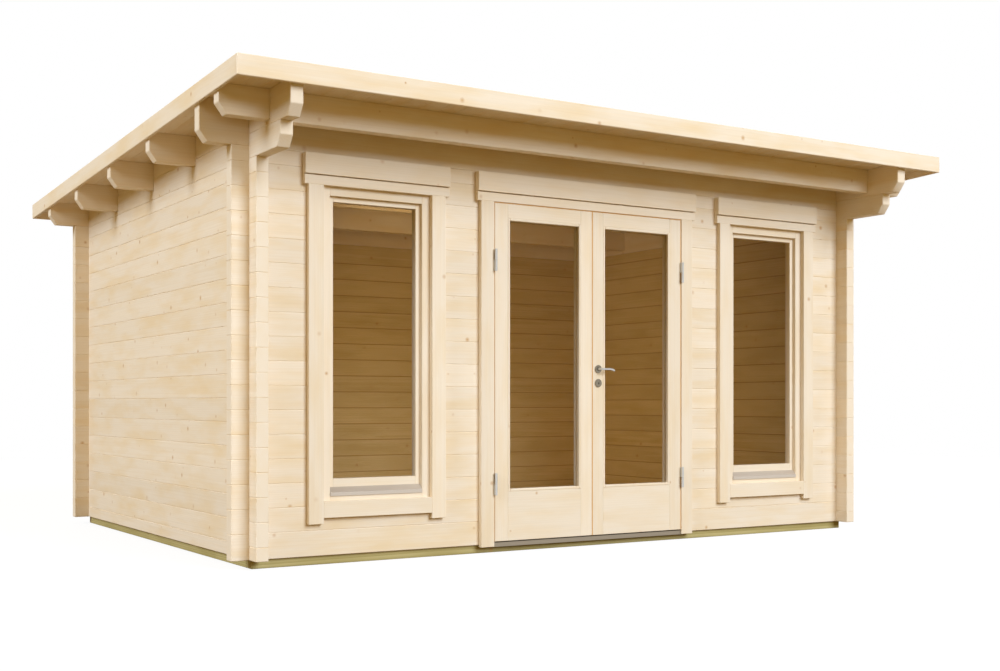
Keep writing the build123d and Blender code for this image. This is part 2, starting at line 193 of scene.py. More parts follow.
def add(tree, kind, links=None, **settings):
    """A node with its settings, and its inputs linked to sockets or set to values.

    Inputs 1 to 4 of a map range node are its runs from and to, and 6 and 7 of a mix node are its colours.
    """
    node = tree.nodes.new(kind)
    for key, value in settings.items():
        setattr(node, key, value)
    for key, value in (links or {}).items():
        if isinstance(value, bpy.types.NodeSocket):
            tree.links.new(value, node.inputs[key])
        else:
            node.inputs[key].default_value = value
    return node


def new_material(name):
    """An empty node material and its tree."""
    material = bpy.data.materials.new(name)
    material.use_nodes = True
    material.node_tree.nodes.clear()
    return material, material.node_tree


def wood(finish, along):
    """Material of a wood finish with its grain along one axis, made once."""
    name = f"{finish}_along_{along.lower()}"
    colours = bpy.context.scene.office_colours
    looks = {
        # Planed wall logs and beams: pale cream with faint lines and small knots
        "planed_spruce": dict(
            pale=colours.spruce, late=colours.spruce_late,
            ring_share=0.18, roughness=0.62, knot_floor=0.55, patch_most=0.75),
        # Sanded doors, windows and casings: plainer, with few knots and a soft sheen
        "joinery_spruce": dict(
            pale=colours.spruce, late=colours.spruce_late,
            ring_share=0.14, roughness=0.50, knot_floor=0.85, patch_most=0.50),
        # Planed wood in the room: a deeper yellow with clearer lines, the deeper yellow a painted shade for
        # the dim light in the room
        "shaded_room_spruce": dict(
            pale=colours.inside, late=colours.shaded_room_late,
            ring_share=0.30, roughness=0.62, knot_floor=0.55, patch_most=0.40),
        # Milled grooves between the logs of the room: browner and dull, the brown a painted shade in the
        # grooves
        "painted_joint_shade": dict(
            pale=colours.painted_joint_shade, late=colours.shaded_room_late,
            ring_share=0.30, roughness=0.80, knot_floor=0.95, patch_most=0.20),
        # Pressure treated bearers and joists: a dull green brown with strong lines
        "treated_timber": dict(
            pale=colours.treated, late=colours.treated_late,
            ring_share=0.90, roughness=0.80, knot_floor=0.70, patch_most=0.60),
    }
    return bpy.data.materials.get(name) or sawn_wood(name, along, **looks[finish])


def sawn_wood(name, along, pale, late, ring_share, roughness, knot_floor, patch_most):
    """Softwood cut from a round trunk: the eye sees pale streaks, late wood lines and small brown knots."""
    colours = bpy.context.scene.office_colours
    # Growth rings are 2 to 4 mm wide, too fine for the picture, so they are drawn 11 mm wide
    ring_width = 11 * MILLIMETRE
    # A wave node at scale 1 goes through 20 radians in a metre
    wave_scale = 2 * math.pi / 20 / ring_width
    ring_taper = 0.05
    late_sharpness = 2.5
    # Single fibres are finer than a pixel, so bundles of them are drawn 7 mm wide
    fibre = Vector((400, 7, 7)) * MILLIMETRE
    fibre_run = (0.3, 0.7)
    fibre_tones = (0.98, 1.015)
    patch = Vector((420, 90, 90)) * MILLIMETRE
    patch_run = (0.42, 0.72)
    timber_tones = (0.96, 1.02)
    knot_spacing = 180 * MILLIMETRE
    knot_radius = 8 * MILLIMETRE
    knot_girths = (0.6, 1.6)
    knot_fade = (0.2, 1.6)
    knot_most = 0.85
    end_run = (0.75, 0.95)
    end_most = 0.7
    material, tree = new_material(name)
    place = add(tree, "ShaderNodeTexCoord")
    heart = add(tree, "ShaderNodeAttribute", attribute_name="heart")
    local = add(
        tree, "ShaderNodeVectorMath", {0: place.outputs["Object"], 1: heart.outputs["Vector"]},
        operation="SUBTRACT")
    turn = GRAIN_TURN[along]
    trunk = add(tree, "ShaderNodeMapping", {"Vector": local.outputs[0], "Rotation": turn})
    facing = add(tree, "ShaderNodeMapping", {"Vector": place.outputs["Normal"], "Rotation": turn})
    across = add(tree, "ShaderNodeVectorMath", {0: facing.outputs[0]}, operation="ABSOLUTE")

    # Late wood lines round the heart of the trunk, drawn out along it
    taper = add(tree, "ShaderNodeMapping", {"Vector": trunk.outputs[0], "Scale": (ring_taper, 1, 1)})
    rings = add(
        tree, "ShaderNodeTexWave",
        {"Vector": taper.outputs[0], "Scale": wave_scale, "Distortion": 7.0, "Detail": 2.0,
         "Detail Scale": 0.3},
        wave_type="RINGS", rings_direction="X", wave_profile="SAW")
    thin = add(tree, "ShaderNodeMath", {0: rings.outputs["Fac"], 1: late_sharpness}, operation="POWER")
    late_share = add(tree, "ShaderNodeMath", {0: thin.outputs[0], 1: ring_share}, operation="MULTIPLY")
    lined = add(
        tree, "ShaderNodeMix", {0: late_share.outputs[0], 6: linear(pale), 7: linear(late)}, data_type="RGBA")

    # Warm patches and fine fibres
    patches = add(
        tree, "ShaderNodeMapping", {"Vector": trunk.outputs[0], "Scale": [1 / s for s in patch]})
    patch_noise = add(tree, "ShaderNodeTexNoise", {"Vector": patches.outputs[0], "Scale": 1.0, "Detail": 3.0})
    patch_share = add(
        tree, "ShaderNodeMapRange",
        {"Value": patch_noise.outputs["Fac"], 1: patch_run[0], 2: patch_run[1], 3: 0.0, 4: patch_most})
    warm = colours.spruce_warm if pale == colours.spruce else late
    patched = add(
        tree, "ShaderNodeMix", {0: patch_share.outputs[0], 6: lined.outputs[2], 7: linear(warm)},
        data_type="RGBA")
    fibres = add(
        tree, "ShaderNodeMapping", {"Vector": trunk.outputs[0], "Scale": [1 / s for s in fibre]})
    fibre_noise = add(tree, "ShaderNodeTexNoise", {"Vector": fibres.outputs[0], "Scale": 1.0, "Detail": 3.0})
    fibre_tone = add(
        tree, "ShaderNodeMapRange",
        {"Value": fibre_noise.outputs["Fac"], 1: fibre_run[0], 2: fibre_run[1], 3: fibre_tones[0],
         4: fibre_tones[1]})

    # Every timber has a tone of its own
    chance = add(tree, "ShaderNodeTexWhiteNoise", {"Vector": heart.outputs["Vector"]})
    timber_tone = add(
        tree, "ShaderNodeMapRange",
        {"Value": chance.outputs["Value"], 3: timber_tones[0], 4: timber_tones[1]})
    tone = add(
        tree, "ShaderNodeMath", {0: fibre_tone.outputs[0], 1: timber_tone.outputs[0]}, operation="MULTIPLY")
    toned = add(
        tree, "ShaderNodeVectorMath", {0: patched.outputs[2], "Scale": tone.outputs[0]}, operation="SCALE")

    # Knots lie in the plane of each face
    plane = add(tree, "ShaderNodeVectorMath", {0: (1, 1, 1), 1: across.outputs[0]}, operation="SUBTRACT")
    flat = add(tree, "ShaderNodeVectorMath", {0: trunk.outputs[0], 1: plane.outputs[0]}, operation="MULTIPLY")
    parts = add(tree, "ShaderNodeSeparateXYZ", {0: flat.outputs[0]})
    height = add(tree, "ShaderNodeMath", {0: parts.outputs["Y"], 1: parts.outputs["Z"]}, operation="ADD")
    sheet = add(tree, "ShaderNodeCombineXYZ", {"X": parts.outputs["X"], "Y": height.outputs[0]})
    cells = add(
        tree, "ShaderNodeTexVoronoi", {"Vector": sheet.outputs[0], "Scale": 1 / knot_spacing},
        voronoi_dimensions="2D")
    chosen = add(tree, "ShaderNodeSeparateColor", {0: cells.outputs["Color"]})
    kept = add(
        tree, "ShaderNodeMapRange", {"Value": chosen.outputs[0], 1: knot_floor, 2: 1.0, 3: 0.0, 4: knot_most})
    girth = add(
        tree, "ShaderNodeMapRange", {"Value": chosen.outputs[1], 3: knot_girths[0], 4: knot_girths[1]})
    away = add(
        tree, "ShaderNodeMath", {0: cells.outputs["Distance"], 1: girth.outputs[0]}, operation="DIVIDE")
    radius = knot_radius / knot_spacing
    disc = add(
        tree, "ShaderNodeMapRange",
        {"Value": away.outputs[0], 1: radius * knot_fade[0], 2: radius * knot_fade[1], 3: 1.0, 4: 0.0})
    knot_share = add(
        tree, "ShaderNodeMath", {0: kept.outputs[0], 1: disc.outputs[0]}, operation="MULTIPLY")
    knotted = add(
        tree, "ShaderNodeMix", {0: knot_share.outputs[0], 6: toned.outputs[0], 7: linear(colours.knot)},
        data_type="RGBA")

    # Sawn ends are paler and plainer than the sides
    ends = add(tree, "ShaderNodeSeparateXYZ", {0: across.outputs[0]})
    end_share = add(
        tree, "ShaderNodeMapRange",
        {"Value": ends.outputs["X"], 1: end_run[0], 2: end_run[1], 3: 0.0, 4: end_most})
    ended = add(
        tree, "ShaderNodeMix", {0: end_share.outputs[0], 6: knotted.outputs[2], 7: linear(pale)},
        data_type="RGBA")

    # Relief of the late wood and fibres
    relief = add(
        tree, "ShaderNodeMath", {0: thin.outputs[0], 1: fibre_noise.outputs["Fac"]}, operation="ADD")
    bump = add(
        tree, "ShaderNodeBump",
        {"Strength": 0.15, "Distance": 0.4 * MILLIMETRE, "Height": relief.outputs[0]})
    shader = add(
        tree, "ShaderNodeBsdfPrincipled",
        {"Base Color": ended.outputs[2], "Roughness": roughness, "Specular IOR Level": 0.1,
         "Normal": bump.outputs[0]})
    add(tree, "ShaderNodeOutputMaterial", {"Surface": shader.outputs[0]})
    return material


def metal(finish):
    """Material of a metal finish, made once."""
    colours = bpy.context.scene.office_colours
    looks = {
        # Lacquered drip sills: a pale grey, half matt from its clear lacquer
        "lacquered_aluminium": dict(colour=colours.aluminium, roughness=0.36, along="X", metallic=0.45),
        # Threshold that shoes have dulled: a darker grey with wide soft lights
        "worn_threshold_aluminium": dict(colour=colours.threshold, roughness=0.48, along="X"),
        # Satin lever and hinges: soft bright lights along their rounds
        "satin_steel": dict(colour=colours.steel, roughness=0.30, along="Z"),
        # Brushed roses: a flat mid grey that sets off the lever
        "brushed_rose_steel": dict(colour=colours.rose, roughness=0.26, along="Z"),
        # Steel inside a keyhole, drawn as a painted shade: nearly black, because little light gets in
        "painted_keyhole_shade": dict(colour=colours.keyhole, roughness=0.60, along="Z"),
    }
    return bpy.data.materials.get(finish) or brushed_metal(finish, **looks[finish])


def brushed_metal(name, colour, roughness, along, metallic=1.0):
    """Metal drawn or brushed along its length: the eye sees soft long streaks in a pale grey."""
    # Brush lines are about 0.1 mm wide, and are drawn 0.8 mm wide so that a close view shows them
    streak = Vector((90, 0.8, 0.8)) * MILLIMETRE
    smoother = 0.08
    rougher = 0.10
    material, tree = new_material(name)
    place = add(tree, "ShaderNodeTexCoord")
    turned = add(
        tree, "ShaderNodeMapping", {"Vector": place.outputs["Object"], "Rotation": GRAIN_TURN[along]})
    drawn = add(tree, "ShaderNodeMapping", {"Vector": turned.outputs[0], "Scale": [1 / s for s in streak]})
    noise = add(tree, "ShaderNodeTexNoise", {"Vector": drawn.outputs[0], "Scale": 1.0, "Detail": 2.0})
    spread = add(
        tree, "ShaderNodeMapRange",
        {"Value": noise.outputs["Fac"], 3: roughness - smoother, 4: roughness + rougher})
    bump = add(
        tree, "ShaderNodeBump",
        {"Strength": 0.15, "Distance": 0.1 * MILLIMETRE, "Height": noise.outputs["Fac"]})
    shader = add(
        tree, "ShaderNodeBsdfPrincipled",
        {"Base Color": linear(colour), "Metallic": metallic, "Roughness": spread.outputs[0],
         "Normal": bump.outputs[0]})
    add(tree, "ShaderNodeOutputMaterial", {"Surface": shader.outputs[0]})
    return material


def seal():
    """Soft foam door seal with fine pores: a matt tan line in the gap round the leaves, partly the seal's
    colour and partly a painted shade of the gap.
    """
    name = "tan_seal_and_gap_shade"
    made = bpy.data.materials.get(name)
    if made:
        return made
    # Pores of the foam are under 0.5 mm wide, and are drawn 1.5 mm wide so that a close view shows them
    pore = 1.5 * MILLIMETRE
    material, tree = new_material(name)
    place = add(tree, "ShaderNodeTexCoord")
    pores = add(tree, "ShaderNodeTexNoise", {"Vector": place.outputs["Object"], "Scale": 1 / pore})
    bump = add(
        tree, "ShaderNodeBump",
        {"Strength": 0.3, "Distance": 0.3 * MILLIMETRE, "Height": pores.outputs["Fac"]})
    colour = linear(bpy.context.scene.office_colours.seal)
    shader = add(
        tree, "ShaderNodeBsdfPrincipled",
        {"Base Color": colour, "Roughness": 0.85, "Specular IOR Level": 0.1, "Normal": bump.outputs[0]})
    add(tree, "ShaderNodeOutputMaterial", {"Surface": shader.outputs[0]})
    return material


def clear_glass():
    """Clean float glass: the room shows through it, a little darker than it is."""
    name = "clear_float_glass"
    made = bpy.data.materials.get(name)
    if made:
        return made
    material, tree = new_material(name)
    colour = linear(bpy.context.scene.office_colours.glass)
    shader = add(
        tree, "ShaderNodeBsdfPrincipled",
        {"Base Color": colour, "Roughness": 0.03, "IOR": 1.5, "Alpha": 0.045})
    add(tree, "ShaderNodeOutputMaterial", {"Surface": shader.outputs[0]})
    return material


# Modelling

def begin(name):
    """A new mesh object at the origin, alone in the selection, empty and in edit mode."""
    bpy.ops.object.select_all(action="DESELECT")
    bpy.ops.mesh.primitive_cube_add(size=1)
    piece = bpy.context.object
    piece.name = name
    piece.data.name = name
    edit(piece)
    bpy.ops.mesh.delete(type="VERT")
    return piece


def edit(piece):
    """Opens a piece in edit mode, with all of it selected."""
    use(piece)
    bpy.ops.object.mode_set(mode="EDIT")
    bpy.ops.mesh.select_all(action="SELECT")


def done():
    """Leaves edit mode."""
    bpy.ops.object.mode_set(mode="OBJECT")


def use(piece):
    """Makes a piece the only one selected, and active."""
    bpy.ops.object.select_all(action="DESELECT")
    piece.select_set(True)
    bpy.context.view_layer.objects.active = piece


def shift(piece, chosen, rise):
    """Moves the corners that a test chooses up or down."""
    for vertex in piece.data.vertices:
        vertex.select = chosen(vertex.co)
    bpy.ops.object.mode_set(mode="EDIT")
    bpy.ops.transform.translate(value=(0, 0, rise))
    done()


def smooth(piece, angle):
    """Shades edges flatter than an angle as part of a round."""
    use(piece)
    bpy.ops.object.shade_smooth_by_angle(angle=angle)


def apply_modifier(piece, kind, **settings):
    """Gives a piece a modifier with its settings, and applies it."""
    use(piece)
    modifier = piece.modifiers.new(kind.lower(), kind)
    for key, value in settings.items():
        setattr(modifier, key, value)
    bpy.ops.object.modifier_apply(modifier=modifier.name)


def ease(piece, width, segments=1):
    """Chamfers or rounds the sharp edges of a piece."""
    apply_modifier(
        piece, "BEVEL", width=width, segments=segments, limit_method="ANGLE", angle_limit=SHARP,
        use_clamp_overlap=True)


def join(pieces, name):
    """Several pieces in one mesh, under one name."""
    bpy.ops.object.select_all(action="DESELECT")
    for piece in pieces:
        piece.select_set(True)
    bpy.context.view_layer.objects.active = pieces[0]
    bpy.ops.object.join()
    pieces[0].name = name
    pieces[0].data.name = name
    return pieces[0]


def settle(piece, body, slot, *nodes):
    """The piece moves with a body and stands for CAD nodes, which are hidden. The slot is not used."""
    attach(piece, body)
    if nodes:
        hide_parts(*nodes)


def bars(name, places, material, along=None, hearts=None):
    """Squared bars in one mesh, each from its low to its high corner."""
    piece = begin(name)
    for low, high in places:
        low, high = Vector(low), Vector(high)
        bpy.ops.mesh.primitive_cube_add(size=1, location=(low + high) / 2, scale=high - low)
    bpy.ops.mesh.select_all(action="DESELECT")
    done()
    piece.data.materials.append(material)
    if along:
        chance = random.Random(name)
        hearts = hearts or [timber_heart(low, high, along, chance) for low, high in places]
        mark_hearts(piece, [heart for heart in hearts for corner in range(BAR_CORNERS)])
    return piece


def timber_heart(low, high, along, chance):
    """A point on the heart of the trunk that a timber was cut from, at random along it."""
    axis = "XYZ".index(along)
    angle = chance.uniform(0, 2 * math.pi)
    reach = chance.uniform(*HEART_REACH)
    heart = (Vector(low) + Vector(high)) / 2
    heart[(axis + 1) % 3] += math.cos(angle) * reach
    heart[(axis + 2) % 3] += math.sin(angle) * reach
    heart[axis] += chance.uniform(-HEART_DRIFT, HEART_DRIFT)
    return heart


def mark_hearts(piece, hearts):
    """Tells each face where the heart of its trunk lies, from a list with one heart a corner."""
    mark = piece.data.attributes.new("heart", "FLOAT_VECTOR", "FACE")
    for face in piece.data.polygons:
        mark.data[face.index].vector = hearts[face.vertices[0]]


def islands(mesh):
    """For each vertex, the number of the loose part that it belongs to."""
    root = list(range(len(mesh.vertices)))

    def find(i):
        while root[i] != i:
            root[i] = root[root[i]]
            i = root[i]
        return i

    for edge in mesh.edges:
        a, b = find(edge.vertices[0]), find(edge.vertices[1])
        root[max(a, b)] = min(a, b)
    return [find(i) for i in range(len(root))]


def eased_copy(node, name, arris, material, along=None, segments=1):
    """A copy of a CAD node with its flat faces merged and its edges eased."""
    use(frame["nodes"][node])
    bpy.ops.object.duplicate()
    piece = bpy.context.object
    bpy.ops.object.parent_clear(type="CLEAR_KEEP_TRANSFORM")
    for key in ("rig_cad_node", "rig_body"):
        del piece[key]
    piece.name = name
    piece.data.name = name
    edit(piece)
    bpy.ops.mesh.remove_doubles(threshold=MERGE)
    bpy.ops.mesh.dissolve_limited(angle_limit=FLAT)
    done()
    piece.data.materials.clear()
    piece.data.materials.append(material)
    if along:
        chance = random.Random(name)
        part = islands(piece.data)
        hearts = {}
        for number in sorted(set(part)):
            corners = [v.co for v in piece.data.vertices if part[v.index] == number]
            hearts[number] = timber_heart(*corners_box(corners), along, chance)
        mark_hearts(piece, [hearts[number] for number in part])
    ease(piece, arris, segments)
    return piece


def eased_timbers(grains, ending, arris, finish, slot):
    """Eased copies of timber nodes of the building, each with its grain along its axis."""
    for node, along in grains.items():
        piece = eased_copy(node, node + ending, arris, wood(finish, along), along)
        settle(piece, BUILDING, slot, node)


def corners_box(corners):
    """Low and high corner of the box round some corners."""
    low = Vector([min(c[i] for c in corners) for i in range(3)])
    high = Vector([max(c[i] for c in corners) for i in range(3)])
    return low, high


def side_box(node, side):
    """Box of what a node has left (-1) or right (1) of the middle."""
    return corners_box([v.co for v in frame["nodes"][node].data.vertices if v.co.x * side > 0])


def ring_bars(outer, inner, y0, y1):
    """Uprights and rails that fill the space between two upright rectangles."""
    (a, b), (c, d) = outer, inner
    uprights = [((a.x, y0, a.z), (c.x, y1, b.z)), ((d.x, y0, a.z), (b.x, y1, b.z))]
    rails = [((c.x, y0, a.z), (d.x, y1, c.z)), ((c.x, y0, d.z), (d.x, y1, b.z))]
    return uprights, rails


def grown(box, reach):
    """A box made larger, or smaller, by a reach along X and Z."""
    step = Vector((reach, 0, reach))
    return box[0] - step, box[1] + step


def joined_frame(name, finish, uprights, rails, arris):
    """A frame of uprights and rails, each with its grain along it."""
    posts = bars(name, uprights, wood(finish, "Z"), "Z")
    cross = bars(name + "_rails", rails, wood(finish, "X"), "X")
    ease(posts, arris)
    ease(cross, arris)
    return join([posts, cross], name)


# Pieces

class LogWalls(bpy.types.Operator):
    """Stack the walls log by log in place of the wall nodes"""

    bl_idname = "garden_office.log_walls"
    bl_label = "Log walls"

    def execute(self, context):
        sizes = context.scene.office_sizes
        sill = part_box("front_wall_left")[0].z
        front_lines = [sill + sizes.first_course + sizes.course * k for k in range(MOST_COURSES)]
        side_lines = [z - sizes.course / 2 for z in front_lines]
        for node in ("left_wall", "right_wall"):
            self.stack(node, "Y", side_lines, [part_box(node)])
        side = [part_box("left_wall"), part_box("right_wall")]
        bury = sizes.log_bury
        for node in ("front_wall_left", "front_wall_right", "front_wall_over_door", "back_wall"):
            low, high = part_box(node)
            lines = front_lines
            if node == "back_wall":
                lines = [z for z in front_lines if z < high.z - sizes.course / 2]
            spans = [(low.x, high.x)]
            for wall_low, wall_high in side:
                cut = []
                for x0, x1 in spans:
                    if x0 < wall_low.x and x1 > wall_high.x:
                        cut += [(x0, wall_low.x + bury), (wall_high.x - bury, x1)]
                    else:
                        cut.append((x0, x1))
                spans = cut
            boxes = [(Vector((x0, low.y, low.z)), Vector((x1, high.y, high.z))) for x0, x1 in spans]
            window = None
            if node in ("front_wall_left", "front_wall_right"):
                window = side_box("window_frames", -1 if node.endswith("left") else 1)
            self.stack(node, "X", lines, boxes, window)
        return {"FINISHED"}

    def stack(self, node, along, lines, boxes, window=None):
        """One log a course, with the same heart in all its stretches, cut or notched for a window."""
        sizes = bpy.context.scene.office_sizes
        low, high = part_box(node)
        levels = [low.z] + [z for z in lines if low.z < z < high.z] + [high.z]
        chance = random.Random(node)
        places, hearts, notched = [], [], []
        first, last = window or (None, None)
        for z0, z1 in zip(levels, levels[1:]):
            heart = timber_heart((low.x, low.y, z0), (high.x, high.y, z1), along, chance)
            for a, b in boxes:
                log = ((a.x, a.y, z0), (b.x, b.y, z1))
                if not window or b.x < first.x or a.x > last.x or z1 < first.z or z0 > last.z:
                    stretches = [log]
                elif z0 > first.z and z1 < last.z:
                    stretches = [((a.x, a.y, z0), (first.x, b.y, z1)), ((last.x, a.y, z0), (b.x, b.y, z1))]
                else:
                    stretches = []
                    notched.append((log, heart))
                places += stretches
                hearts += [heart] * len(stretches)
        pieces = [bars(node + "_logs", places, wood("planed_spruce", along), along, hearts)]
        ease(pieces[0], sizes.log_arris)
        for log, heart in notched:
            pieces.append(self.notch(log, heart, window))
        piece = join(pieces, node + "_logs")
        self.paint_room_shade(piece, along)
        settle(piece, BUILDING, "planed_spruce", node)

    def paint_room_shade(self, piece, along):
        """Gives the faces in the room a painted shade: a warmer tone for the dim light there, and a browner
        one on the sloped faces of the joints.
        """
        low = Vector((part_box("left_wall")[1].x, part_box("front_wall_left")[1].y, 0))
        high = Vector((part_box("right_wall")[0].x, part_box("back_wall")[0].y, 0))
        if along == "Y":
            edit(piece)
            for y in (low.y, high.y):
                bpy.ops.mesh.select_all(action="SELECT")
                bpy.ops.mesh.bisect(plane_co=(0, y, 0), plane_no=(0, 1, 0))
            done()
        piece.data.materials.append(wood("shaded_room_spruce", along))
        piece.data.materials.append(wood("painted_joint_shade", along))
        reach = bpy.context.scene.office_sizes.log_arris
        # Faces in the room take the painted shade of the room, and sloped joint faces there a browner painted
        # shade
        for face in piece.data.polygons:
            place = face.center
            across = low.x - reach < place.x < high.x + reach
            deep = low.y - reach < place.y < high.y + reach
            sloped = JOINT_SLOPES[0] < abs(face.normal.z) < JOINT_SLOPES[1]
            face.material_index = (2 if sloped else 1) if across and deep else 0

    def notch(self, log, heart, window):
        """A log with the corner of the window cut out of it."""
        material = wood("planed_spruce", "X")
        piece = bars("notched_log", [log], material, "X", [heart])
        ease(piece, bpy.context.scene.office_sizes.log_arris)
        overrun = Vector((0, CUT_OVERRUN, 0))
        cutter = bars("window_cutter", [(window[0] - overrun, window[1] + overrun)], material)
        apply_modifier(piece, "BOOLEAN", object=cutter, solver="EXACT")
        bpy.data.objects.remove(cutter)
        return piece


class RoofTimbers(bpy.types.Operator):
    """Ease the edges of the beams, bracket logs and fascia"""

    bl_idname = "garden_office.roof_timbers"
    bl_label = "Roof timbers"

    def execute(self, context):
        arris = context.scene.office_sizes.beam_arris
        beams = {
            "front_top_log": "X", "back_top_log": "X", "overhang_beam": "X", "purlins": "X",
            "lower_bracket_logs": "Y", "upper_bracket_logs": "Y"}
        fascias = {"front_fascia": "X", "back_fascia": "X", "side_fascias": "Y"}
        eased_timbers(beams, "_eased", arris, "planed_spruce", "planed_spruce")
        eased_timbers(fascias, "_eased", arris, "planed_spruce", "fascia_boards")
        return {"FINISHED"}


class RoofBoards(bpy.types.Operator):
    """Lay the roof boards from front to back, on the fall of the roof"""

    bl_idname = "garden_office.roof_boards"
    bl_label = "Roof boards"

    def execute(self, context):
        sizes = context.scene.office_sizes
        low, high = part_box("roof_deck")
        corners = [v.co for v in frame["nodes"]["roof_deck"].data.vertices]
        back_top = max(c.z for c in corners if c.y > 0)
        fall = high.z - back_top
        thickness = high.z - min(c.z for c in corners if c.y < 0)
        step = (high.x - low.x) / sizes.roof_boards
        places = [
            ((low.x + step * k, low.y, high.z - thickness), (low.x + step * (k + 1), high.y, high.z))
            for k in range(sizes.roof_boards)]
        piece = bars("roof_boards", places, wood("planed_spruce", "Y"), "Y")
        shift(piece, lambda corner: corner.y > 0, -fall)
        ease(piece, sizes.board_arris)
        settle(piece, BUILDING, "roof_boards", "roof_deck")
        return {"FINISHED"}


class Base(bpy.types.Operator):
    """Lay the floor boards on treated bearers and joists"""

    bl_idname = "garden_office.base"
    bl_label = "Base and floor"

    def execute(self, context):
        sizes = context.scene.office_sizes
        low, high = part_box("floor")
        step = (high.y - low.y) / sizes.floor_boards
        places = [
            ((low.x, low.y + step * k, low.z), (high.x, low.y + step * (k + 1), high.z))
            for k in range(sizes.floor_boards)]
        # The floor boards lie in the room, so they take its painted shade
        piece = bars("floor_boards", places, wood("shaded_room_spruce", "X"), "X")
        ease(piece, sizes.board_arris)
        settle(piece, BUILDING, "floor_boards", "floor")
        bearers = {"front_bearer": "X", "back_bearer": "X", "side_bearers": "Y", "floor_joists": "Y"}
        eased_timbers(bearers, "_sawn", sizes.beam_arris, "treated_timber", "treated_timber")
        return {"FINISHED"}


class Casings(bpy.types.Operator):
    """Ease the casings and heads round the windows and the door"""

    bl_idname = "garden_office.casings"
    bl_label = "Casings"

    def execute(self, context):
        arris = context.scene.office_sizes.casing_arris
        casings = {
            "window_side_casings": "Z", "window_sill_casings": "X", "window_heads": "X",
            "door_casings": "Z", "door_head": "X"}
        eased_timbers(casings, "_eased", arris, "joinery_spruce", "casing_boards")
        return {"FINISHED"}


class Windows(bpy.types.Operator):
    """Build the window frames, sashes, sealed units and drip sills"""

    bl_idname = "garden_office.windows"
    bl_label = "Windows"

    def execute(self, context):
        sizes = context.scene.office_sizes
        frames, sashes, panes, drips = [], [], [], []
        for side, name in ((-1, "left"), (1, "right")):
            frame_box = side_box("window_frames", side)
            sash_box = side_box("window_sashes", side)
            pane_box = side_box("window_panes", side)
            frames.append(joined_frame(
                name + "_frame", "joinery_spruce",
                *ring_bars(frame_box, sash_box, frame_box[0].y, frame_box[1].y), sizes.joinery_arris))
            sashes.append(joined_frame(
                name + "_sash", "joinery_spruce",
                *ring_bars(sash_box, pane_box, sash_box[0].y, sash_box[1].y), sizes.joinery_arris))
            panes.append(sealed_unit(name + "_pane", pane_box))
            drips.append(side_box("window_drips", side))
        settle(join(frames, "window_frame_joinery"), BUILDING, "joinery_spruce", "window_frames")
        settle(join(sashes, "window_sash_joinery"), BUILDING, "joinery_spruce", "window_sashes")
        settle(join(panes, "window_glass"), BUILDING, "clear_glass", "window_panes")
        self.drip_sills(drips)
        return {"FINISHED"}

    def drip_sills(self, boxes):
        """Metal sills that slope forward to an upright lip."""
        sizes = bpy.context.scene.office_sizes
        piece = bars("window_drip_sills", boxes, metal("lacquered_aluminium"))
        low, high = boxes[0]
        middle = (low + high) / 2
        shift(
            piece, lambda corner: corner.y < middle.y and corner.z > middle.z,
            low.z + sizes.drip_lip - high.z)
        ease(piece, sizes.metal_arris, 2)
        settle(piece, BUILDING, "grey_aluminium", "window_drips")


def sealed_unit(name, box):
    """Two sheets of glass with room between them."""
    glass = bpy.context.scene.office_sizes.glass
    arris = 0.3 * MILLIMETRE
    low, high = box
    places = [
        (low, (high.x, low.y + glass, high.z)),
        ((low.x, high.y - glass, low.z), high),
    ]
    piece = bars(name, places, clear_glass())
    ease(piece, arris)
    return piece


class DoorFrame(bpy.types.Operator):
    """Finish the jambs, the sill bar and the ribbed metal threshold"""

    bl_idname = "garden_office.door_frame"
    bl_label = "Door frame"

    rib: FloatProperty(name="Rib", description="Width of a threshold rib", default=0.003, unit="LENGTH")
    rib_rise: FloatProperty(name="Rib rise", description="Height of a rib", default=0.0008, unit="LENGTH")
    ribs: IntProperty(name="Ribs", description="Ribs along the threshold", default=6)
    seal: FloatProperty(name="Seal", description="How far a seal fills the gap", default=0.005, unit="LENGTH")
    seal_depth: FloatProperty(name="Seal depth", description="Depth of a seal", default=0.008, unit="LENGTH")
    seal_set_back: FloatProperty(
        name="Seal set back", description="Seal behind the leaf's face", default=0.002, unit="LENGTH")

    def execute(self, context):
        sizes = context.scene.office_sizes
        timbers = {"door_jambs": "Z", "door_head_jamb": "X", "door_sill": "X"}
        eased_timbers(timbers, "_eased", sizes.joinery_arris, "joinery_spruce", "joinery_spruce")
        worn = metal("worn_threshold_aluminium")
        plate = eased_copy("door_threshold", "threshold_plate", sizes.metal_arris, worn, segments=2)
        low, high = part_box("door_threshold")
        inner_low, inner_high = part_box("door_sill")
        step = (inner_low.y - low.y) / (self.ribs + 1)
        places = []
        for k in range(self.ribs):
            y = low.y + step * (k + 1)
            places.append((
                (inner_low.x, y - self.rib / 2, high.z - self.rib_rise),
                (inner_high.x, y + self.rib / 2, high.z + self.rib_rise)))
        ribs = bars("threshold_ribs", places, worn)
        ease(ribs, self.rib_rise / 2)
        settle(join([plate, ribs], "threshold_profile"), BUILDING, "grey_aluminium", "door_threshold")
        self.seals()
        return {"FINISHED"}

    def seals(self):
        """Foam seals on the jambs that show as a tan line round the leaves, partly their own colour and
        partly a painted shade of the gap.
        """
        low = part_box("left_leaf")[0]
        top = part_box("door_head")[0].z
        side = side_box("door_casings", 1)[0].x
        y0 = low.y + self.seal_set_back
        y1 = y0 + self.seal_depth
        left = ((-side, y0, low.z), (-side + self.seal, y1, top))
        right = ((side - self.seal, y0, low.z), (side, y1, top))
        over = ((-side + self.seal, y0, top - self.seal), (side - self.seal, y1, top))
        piece = bars("door_seals", [left, right, over], seal())
        ease(piece, self.seal / 4, 2)
        settle(piece, BUILDING, "joinery_spruce")


